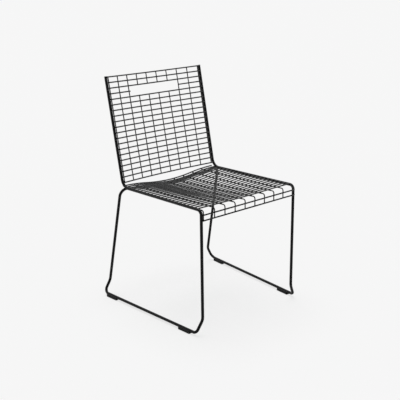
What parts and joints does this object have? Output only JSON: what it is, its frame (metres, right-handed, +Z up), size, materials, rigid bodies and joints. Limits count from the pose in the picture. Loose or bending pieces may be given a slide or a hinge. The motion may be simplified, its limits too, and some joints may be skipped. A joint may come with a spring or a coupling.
{
  "type": "wire mesh dining chair",
  "caption": "Black steel wire mesh chair: bent rod side frames on a flared sled base, dished mesh seat with a turned-down front, bowed mesh backrest with a hand slot",
  "frame": {"origin": "centre of the chair's footprint box, on the floor", "axes": "+Z up, the chair faces -Y, the viewer's left seen from the front is -X, the chair is mirrored about X = 0"},
  "size_m": [0.559, 0.5455, 0.818],
  "materials": {
    "frame_steel": "black powder coat on steel rod",
    "mesh_steel": "black powder coat on steel wire",
    "glide_plastic": "moulded black plastic"
  },
  "bodies": {
    "root": {"apron_wire_lower": "mesh_steel", "apron_wire_upper": "mesh_steel", "back_cross_wire_01": "mesh_steel", "back_cross_wire_02": "mesh_steel", "back_cross_wire_03": "mesh_steel", "back_cross_wire_04": "mesh_steel", "back_cross_wire_05": "mesh_steel", "back_cross_wire_06": "mesh_steel", "back_cross_wire_07": "mesh_steel", "back_cross_wire_08": "mesh_steel", "back_cross_wire_09": "mesh_steel", "back_cross_wire_10": "mesh_steel", "back_cross_wire_11": "mesh_steel", "back_cross_wire_12": "mesh_steel", "back_cross_wire_13": "mesh_steel", "back_cross_wire_14": "mesh_steel", "back_cross_wire_15": "mesh_steel", "back_cross_wire_16": "mesh_steel", "back_cross_wire_17": "mesh_steel", "back_cross_wire_18": "mesh_steel", "back_cross_wire_19": "mesh_steel", "back_cross_wire_20": "mesh_steel", "back_edge_wire_left": "mesh_steel", "back_edge_wire_right": "mesh_steel", "back_vertical_wire_1": "mesh_steel", "back_vertical_wire_2": "mesh_steel", "back_vertical_wire_3": "mesh_steel", "back_vertical_wire_4": "mesh_steel", "back_vertical_wire_5": "mesh_steel", "back_vertical_wire_6": "mesh_steel", "back_vertical_wire_7": "mesh_steel", "back_vertical_wire_8": "mesh_steel", "glide_front_left": "glide_plastic", "glide_front_right": "glide_plastic", "glide_rear_left": "glide_plastic", "glide_rear_right": "glide_plastic", "seat_cross_wire_pair_01": "mesh_steel", "seat_cross_wire_pair_02": "mesh_steel", "seat_cross_wire_pair_03": "mesh_steel", "seat_cross_wire_pair_04": "mesh_steel", "seat_cross_wire_pair_05": "mesh_steel", "seat_cross_wire_pair_06": "mesh_steel", "seat_cross_wire_pair_07": "mesh_steel", "seat_cross_wire_pair_08": "mesh_steel", "seat_cross_wire_pair_09": "mesh_steel", "seat_cross_wire_pair_10": "mesh_steel", "seat_cross_wire_pair_11": "mesh_steel", "seat_edge_wire_left": "mesh_steel", "seat_edge_wire_right": "mesh_steel", "seat_long_wire_1": "mesh_steel", "seat_long_wire_2": "mesh_steel", "seat_long_wire_3": "mesh_steel", "seat_long_wire_4": "mesh_steel", "seat_long_wire_5": "mesh_steel", "seat_long_wire_6": "mesh_steel", "seat_long_wire_7": "mesh_steel", "seat_long_wire_8": "mesh_steel", "seat_rear_stretcher": "frame_steel", "side_frame_left": "frame_steel", "side_frame_right": "frame_steel"}
  },
  "joints": []
}
